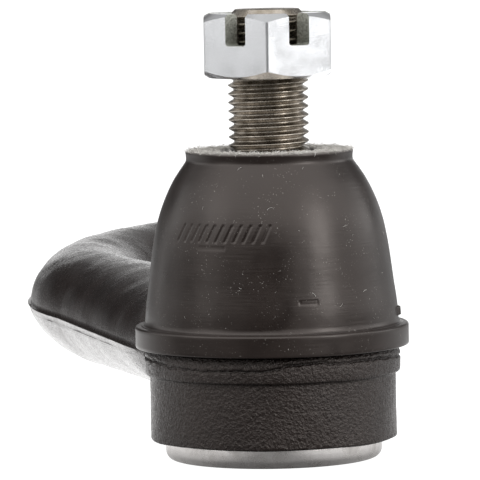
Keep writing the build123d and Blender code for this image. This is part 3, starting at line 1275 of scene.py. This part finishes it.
@dataclass
class SlottedNut:
    """Slotted hexagon nut with rounded edges and a plain bore."""

    across_flats: float = 22.0
    bottom: float = 66.6
    top: float = 77.8
    chamfer_radius: float = 10.35
    chamfer_drop: float = 1.42
    slot_width: float = 4.0
    slot_depth: float = 5.5
    slot_turns: tuple[float, ...] = (0, 60, 120)
    edge: float = 0.70
    pieces: list[Piece] = field(default_factory=list)

    def prism(self) -> Piece:
        """Hexagonal prism with rounded upright edges and a corner in front."""
        inner = (self.across_flats / 2 - self.edge) / math.cos(math.radians(30))
        ring = []
        for side in range(6):
            for turn in np.linspace(-30, 30, 9):
                way = math.radians(60 * side + turn)
                base = math.radians(60 * side)
                x = inner * math.sin(base) + self.edge * math.sin(way)
                ring.append((x, -inner * math.cos(base) - self.edge * math.cos(way)))
        points = [(x, y, z) for z in (self.bottom, self.top) for x, y in ring]
        return mesh_from("nut", np.array(points), swept_faces(2, len(ring)))

    def flatten(self, nut: Piece) -> None:
        """Shade the nut's plane faces flat, and round ones smooth up to their edges."""
        turns = [math.radians(30 * i) for i in range(12)]
        flats = [Vector((math.cos(t), math.sin(t), 0)) for t in turns]
        flats += [Vector((0, 0, 1)), Vector((0, 0, -1))]
        for face in nut.data.polygons:
            reach = math.hypot(face.center.x, face.center.y) / MM
            plane = max(face.normal.dot(flat) for flat in flats) > 0.99995
            face.use_smooth = not plane or reach < 7.4
        nut.data.set_sharp_from_angle(angle=math.radians(20))

    def slot(self, turn: float) -> Piece:
        """Cutter of one pair of slots, turned about the axis."""
        half, low, high = self.slot_width / 2, self.top - self.slot_depth, self.top + 2
        profile = [(half, high), (-half, high)]
        profile += [(-half + 0.55 + x, low + 0.55 + z) for x, z in arc((0, 0), 0.55, 180, 270, 5)]
        profile += [(half - 0.55 + x, low + 0.55 + z) for x, z in arc((0, 0), 0.55, 270, 360, 5)]
        points = [(x, y, z) for x in (-20, 20) for y, z in profile]
        made = mesh_from("slot", np.array(points), swept_faces(2, len(profile)))
        made.data.transform(Matrix.Rotation(math.radians(turn), 4, "Z"))
        return made

    def build(self, tree: ThreadTree, zinc: Material) -> None:
        """Make the nut.

        Args:
            tree: Thread tree; not used.
            zinc: Material of the plating.
        """
        corner = self.across_flats / math.sqrt(3)
        nut = self.prism()
        r, drop = self.chamfer_radius, self.chamfer_drop
        reach = corner + 0.3
        fall = drop * (reach - r) / (corner - r)
        low, high = self.bottom, self.top
        cone = [(0, low), (r, low), (reach, low + fall), (reach, high - fall), (r, high), (0, high)]
        nut = combine(nut, lathe("cone", cone, even_angles(180)), Combine.KEEP)
        bore = [(0, low - 1), (8.1, low - 1), (8.1, low), (7.2, low + 0.9)]
        bore += [(7.2, high - 0.6), (7.7, high), (7.7, high + 1), (0, high + 1)]
        nut = combine(nut, lathe("bore", bore, even_angles(96)), Combine.CUT)
        for turn in self.slot_turns:
            nut = combine(nut, self.slot(turn), Combine.CUT)
        self.flatten(nut)
        centres = np.array([face.center for face in nut.data.polygons]) / MM
        milled = np.hypot(centres[:, 0], centres[:, 1]) < 7.6
        for turn in self.slot_turns:
            c, s = math.cos(math.radians(turn)), math.sin(math.radians(turn))
            inside = np.abs(centres[:, 1] * c - centres[:, 0] * s) < self.slot_width / 2 + 0.02
            milled = milled | inside & (centres[:, 2] > self.top - self.slot_depth - 0.02)
        paint(nut, "milled", milled * 1.0, "FACE")
        coat_all(nut, zinc)
        nut.name = "hexagon_nut"
        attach(nut, Body.NUT.value)
        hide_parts("slotted_nut")
        self.pieces = [nut]


# ---------------------------------------------------------------------- studio


@dataclass
class Studio:
    """Floor, soft light and camera."""

    distance: float = 0.855
    pitch: float = 4.55
    roll: float = -0.985
    aim_height: float = 38.15
    yaw: float = 0.359
    focal: float = 367.5

    def floor(self) -> None:
        """Pale plain floor at the height the object stands on: white to the camera, with painted light
        glowing behind and beside the object and a dark base that stands in for shade in front.
        """
        mesh = bpy.data.meshes.new("floor")
        half = 6.0
        corners = [(-half, -half, 0), (half, -half, 0), (half, half, 0), (-half, half, 0)]
        mesh.from_pydata(corners, [], [(0, 1, 2, 3)])
        floor = new_object("floor", mesh)
        graph = NodeGraph("floor_with_painted_glow")
        seen = graph.put("ShaderNodeLightPath", {}).outputs["Is Camera Ray"]
        spot = graph.put("ShaderNodeSeparateXYZ", {0: graph.place()}).outputs
        # painted light: the floor glows behind the object, fading further back and to the sides
        rear_glow = graph.spread(spot[1], -20.0, 60.0, 0.0, 1.7)
        rear_glow = graph.maths("MULTIPLY", rear_glow, graph.spread(spot[1], 150.0, 300.0, 1.0, 0.3))
        rear_glow = graph.maths("MULTIPLY", rear_glow, graph.spread(spot[0], 10.0, 70.0, 1.0, 0.4))
        rear_glow = graph.maths("MULTIPLY", rear_glow, graph.spread(spot[0], -150.0, -90.0, 0.4, 1.0))
        # painted light: the floor glows beside the object within about 60 mm, but not in a narrow strip in
        # line with the camera
        flank_glow = graph.spread(graph.maths("ABSOLUTE", spot[0]), 8.0, 32.0, 0.0, 0.55)
        flank_glow = graph.maths("MULTIPLY", flank_glow, graph.spread(graph.radius(), 50.0, 75.0, 1.0, 0.0))
        glow = graph.maths("MAXIMUM", seen, graph.maths("MAXIMUM", rear_glow, flank_glow))
        # dark base, seen only in reflections and bounced light, stands in for shade on the floor in front
        graph.surface(Base_Color=(0.13, 0.13, 0.13), Roughness=0.9)
        graph.surface(Emission_Color=(1.0, 1.0, 1.0), Emission_Strength=glow)
        floor.data.materials.append(graph.material)

    def sky(self) -> None:
        """White room with a dark side behind the camera and a brighter right side."""
        world = bpy.data.worlds.new("room")
        bpy.context.scene.world = world
        world.use_nodes = True
        sky = TreeBuilder()
        sky.tree = world.node_tree
        sky.tree.nodes.clear()

        def ramp(value: Socket, low: float, high: float, first: float, last: float) -> Socket:
            """Smooth step from first to last."""
            inputs = {0: value, 1: low, 2: high, 3: first, 4: last}
            return sky.put("ShaderNodeMapRange", inputs, interpolation_type="SMOOTHSTEP").outputs[0]

        def times(first: object, second: object) -> Socket:
            """Product of two numbers."""
            return sky.maths("MULTIPLY", first, second)

        way = sky.put("ShaderNodeTexCoord", {}).outputs["Generated"]
        x, y, z = sky.put("ShaderNodeSeparateXYZ", {0: way}).outputs
        right = ramp(x, -0.15, 0.35, 0.50, 1.32)
        front = ramp(y, -0.97, -0.85, 0.02, 1.0)
        gap_start = ramp(x, -0.78, -0.66, 0.0, 1.0)
        gap_end = ramp(x, -0.23, -0.13, 1.0, 0.0)
        gap = times(times(gap_start, gap_end), 0.88)
        kept = sky.maths("SUBTRACT", 1.0, gap)
        backdrop = times(kept, ramp(z, 0.03, 0.22, 1.6, 0.30))
        backdrop = times(backdrop, ramp(x, 0.12, 0.30, 1.0, 0.45))
        behind = ramp(y, 0.50, 0.66, 0.0, 1.0)
        boost = times(ramp(y, -0.20, 0.30, 0.0, 1.0), ramp(z, 0.06, 0.22, 0.0, 1.1))
        boxes = sky.maths("ADD", times(right, front), boost)
        side = sky.put("ShaderNodeMix", {0: behind, 2: boxes, 3: backdrop}).outputs[0]
        ahead = ramp(y, -0.15, 0.55, 2.1, 0.35)
        high = ramp(z, 0.26, 0.52, 0.0, 1.0)
        light = sky.put("ShaderNodeMix", {0: high, 2: side, 3: ahead}).outputs[0]
        seen = sky.put("ShaderNodeLightPath", {}).outputs["Is Camera Ray"]
        shown = sky.put("ShaderNodeMix", {0: seen, 2: light, 3: 1.0}).outputs[0]
        back = sky.put("ShaderNodeBackground", {"Color": (1, 1, 1, 1), "Strength": shown})
        output = sky.put("ShaderNodeOutputWorld", {})
        sky.tree.links.new(back.outputs[0], output.inputs[0])

    def lamp(self, name: str, place: Vector, power: float, size: float) -> None:
        """Add one soft box aimed at the object."""
        data = bpy.data.lights.new(name, "AREA")
        data.energy = power
        data.shape = "RECTANGLE"
        data.size = size
        data.size_y = size * 1.6
        lamp = bpy.data.objects.new(name, data)
        lamp.visible_camera = False
        bpy.context.scene.collection.objects.link(lamp)
        aim = Vector((0, 0, self.aim_height * MM))
        facing = (place - aim).to_track_quat("Z", "Y").to_matrix().to_4x4()
        lamp.matrix_world = Matrix.Translation(place) @ facing

    def camera(self) -> None:
        """Long lens in front of the stud, looking slightly down."""
        data = bpy.data.cameras.new("camera")
        data.sensor_width = 36.0
        data.lens = self.focal
        data.clip_start = 0.05
        data.clip_end = 50.0
        camera = bpy.data.objects.new("camera", data)
        bpy.context.scene.collection.objects.link(camera)
        pitch = math.radians(self.pitch)
        aim = Vector((0, 0, self.aim_height * MM))
        ahead = Vector((0, math.cos(pitch), -math.sin(pitch)))
        turn = Matrix.Rotation(math.pi / 2 - pitch, 4, "X") @ Matrix.Rotation(math.radians(self.roll), 4, "Z")
        turn = Matrix.Rotation(math.radians(self.yaw), 4, "Z") @ turn
        camera.matrix_world = Matrix.Translation(aim - ahead * self.distance) @ turn
        bpy.context.scene.camera = camera

    def build(self) -> None:
        """Set up everything that isn't the object."""
        bpy.context.scene.view_settings.view_transform = "Standard"
        self.floor()
        self.sky()
        self.lamp("soft_box_right", Vector((0.9, -0.70, 0.45)), 4.0, 0.40)
        self.lamp("soft_box_left", Vector((-0.9, -0.45, 0.40)), 1.0, 0.45)
        self.camera()


def dress(node: str, material: Material) -> None:
    """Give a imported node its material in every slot.

    Args:
        node: Name of the node.
        material: Its finish.
    """
    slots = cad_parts[node].material_slots
    for slot in slots:
        slot.material = material
    LOG.info("dressed %s", node)


def report(title: str, pieces: Sequence[Piece]) -> None:
    """Log what a sub-assembly made."""
    for piece in pieces:
        LOG.info("%s: %s, %d faces", title, piece.name, len(piece.data.polygons))


def main() -> None:
    """Build the object's looks, then the studio."""
    logging.basicConfig(level=logging.INFO, format="%(name)s %(message)s")
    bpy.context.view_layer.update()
    tree = ThreadTree()
    turned = TurnedSteel("turned_steel", (0.82, 0.79, 0.77), gloss=0.22).make()
    ground = TurnedSteel("ground_steel", (0.66, 0.65, 0.64), gloss=0.22, ring_size=0.06).make()
    pressed = TurnedSteel("pressed_steel", (0.52, 0.52, 0.50), 0.38, ring_size=0.5, ring_depth=0.01).make()
    sprung = TurnedSteel("spring_steel", (0.28, 0.28, 0.30), gloss=0.34, stain_share=0.2).make()
    polymer = SeatPolymer().make()
    lint = Lint().make()

    forging = Forging()
    forging.build(tree, CoatedForging().make(), turned)
    report("forging", forging.pieces)
    boot = DustBoot()
    boot.build(BootRubber().make(), lint)
    report("boot", boot.pieces)
    stud = BallStud()
    stud.build(tree, ground, RolledThreadSteel().make())
    report("stud", stud.pieces)
    nut = SlottedNut()
    nut.build(tree, ZincPlate().make())
    report("nut", nut.pieces)
    for node in ("lower_ball_seat", "upper_ball_seat"):
        dress(node, polymer)
    dress("closing_plate", pressed)
    for node in ("disc_spring", "boot_sleeve", "boot_neck_ring"):
        dress(node, sprung)
    Studio().build()


if __name__ == "__main__":
    main()
